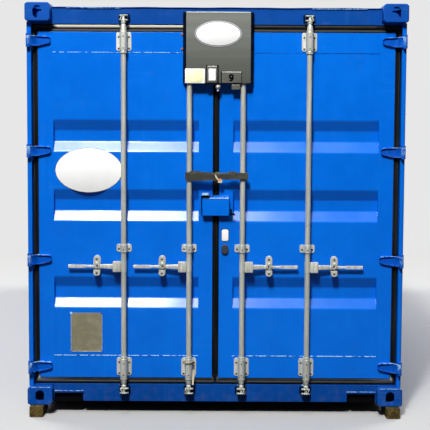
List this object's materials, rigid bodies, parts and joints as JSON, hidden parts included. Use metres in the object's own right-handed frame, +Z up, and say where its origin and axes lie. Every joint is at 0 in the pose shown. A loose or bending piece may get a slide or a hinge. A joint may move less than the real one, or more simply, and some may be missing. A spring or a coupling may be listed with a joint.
{
  "type": "twenty foot shipping container",
  "caption": "Steel cargo box with double doors, locking bars and handles, corrugated walls, fork pockets and corner castings, shut and standing on timber blocks.",
  "frame": {"origin": "on the ground under the middle of the whole object", "axes": "+X to the right as one faces the doors, +Y from the doors to the closed end, +Z up"},
  "size_m": [2.438, 6.138, 2.661],
  "materials": {
    "casting_blue": "satin",
    "frame_blue": "satin",
    "door_blue": "gloss",
    "wall_blue": "satin",
    "fitting_blue": "satin",
    "underside_paint": "matt",
    "galvanised": "dull",
    "keeper_steel": "weathered",
    "rubber": "matt",
    "plywood": "oiled",
    "timber": "rough sawn",
    "cover_grey": "textured",
    "cover_fitting": "satin",
    "sensor_black": "satin",
    "strap_grey": "weathered"
  },
  "bodies": {
    "root": {"cross_members": "underside_paint", "door_bottom_castings": "casting_blue", "door_header": "frame_blue", "door_sill": "frame_blue", "door_top_castings": "casting_blue", "end_bottom_castings": "casting_blue", "end_bottom_rail": "wall_blue", "end_top_castings": "casting_blue", "end_top_rail": "wall_blue", "end_wall": "wall_blue", "floor_boards": "plywood", "fork_pockets": "underside_paint", "header_keepers": "keeper_steel", "hinge_lugs": "fitting_blue", "left_bottom_side_rail": "wall_blue", "left_door_post": "frame_blue", "left_end_post": "frame_blue", "left_side_wall": "wall_blue", "left_top_side_rail": "wall_blue", "right_bottom_side_rail": "wall_blue", "right_door_post": "frame_blue", "right_end_post": "frame_blue", "right_side_wall": "wall_blue", "right_top_side_rail": "wall_blue", "roof": "wall_blue", "sill_keepers": "keeper_steel", "timber_blocks": "timber"},
    "left_door": {"left_leaf_frame": "door_blue", "left_leaf_panel": "door_blue", "left_gasket": "rubber", "left_hinge_blades": "fitting_blue", "left_bar_brackets": "galvanised", "left_handle_seats": "galvanised", "padlock_tab": "fitting_blue"},
    "right_door": {"right_leaf_frame": "door_blue", "right_leaf_panel": "door_blue", "right_gasket": "rubber", "right_hinge_blades": "fitting_blue", "right_bar_brackets": "galvanised", "right_handle_seats": "galvanised", "padlock_box": "fitting_blue", "cover_box": "cover_grey", "cover_fittings": "cover_fitting", "bar_strap": "strap_grey", "door_sensor": "sensor_black"},
    "left_inner_lock": {"left_inner_bar": "galvanised", "left_inner_cams": "galvanised", "left_inner_handle": "galvanised"},
    "left_outer_lock": {"left_outer_bar": "galvanised", "left_outer_cams": "galvanised", "left_outer_handle": "galvanised"},
    "right_inner_lock": {"right_inner_bar": "galvanised", "right_inner_cams": "galvanised", "right_inner_handle": "galvanised"},
    "right_outer_lock": {"right_outer_bar": "galvanised", "right_outer_cams": "galvanised", "right_outer_handle": "galvanised"}
  },
  "joints": [
    {"name": "right_door_hinge", "type": "hinge", "parent": "root", "child": "right_door", "pos_m": [1.2, -3.007, 1.36], "axis": [0, 0, 1], "range_deg": [0, 250]},
    {"name": "left_door_hinge", "type": "hinge", "parent": "root", "child": "left_door", "pos_m": [-1.2, -3.007, 1.36], "axis": [0, 0, -1], "range_deg": [0, 250]},
    {"name": "left_inner_bar_turn", "type": "hinge", "parent": "left_door", "child": "left_inner_lock", "pos_m": [-0.172, -2.992, 1.36], "axis": [0, 0, -1], "range_deg": [-110, 0]},
    {"name": "left_outer_bar_turn", "type": "hinge", "parent": "left_door", "child": "left_outer_lock", "pos_m": [-0.594, -2.992, 1.36], "axis": [0, 0, -1], "range_deg": [-110, 0]},
    {"name": "right_inner_bar_turn", "type": "hinge", "parent": "right_door", "child": "right_inner_lock", "pos_m": [0.172, -2.992, 1.36], "axis": [0, 0, 1], "range_deg": [-110, 0]},
    {"name": "right_outer_bar_turn", "type": "hinge", "parent": "right_door", "child": "right_outer_lock", "pos_m": [0.594, -2.992, 1.36], "axis": [0, 0, 1], "range_deg": [-110, 0]}
  ],
  "couplings": [
    {"joint": "left_door_hinge", "follows": "right_door_hinge", "ratio": 1}
  ]
}
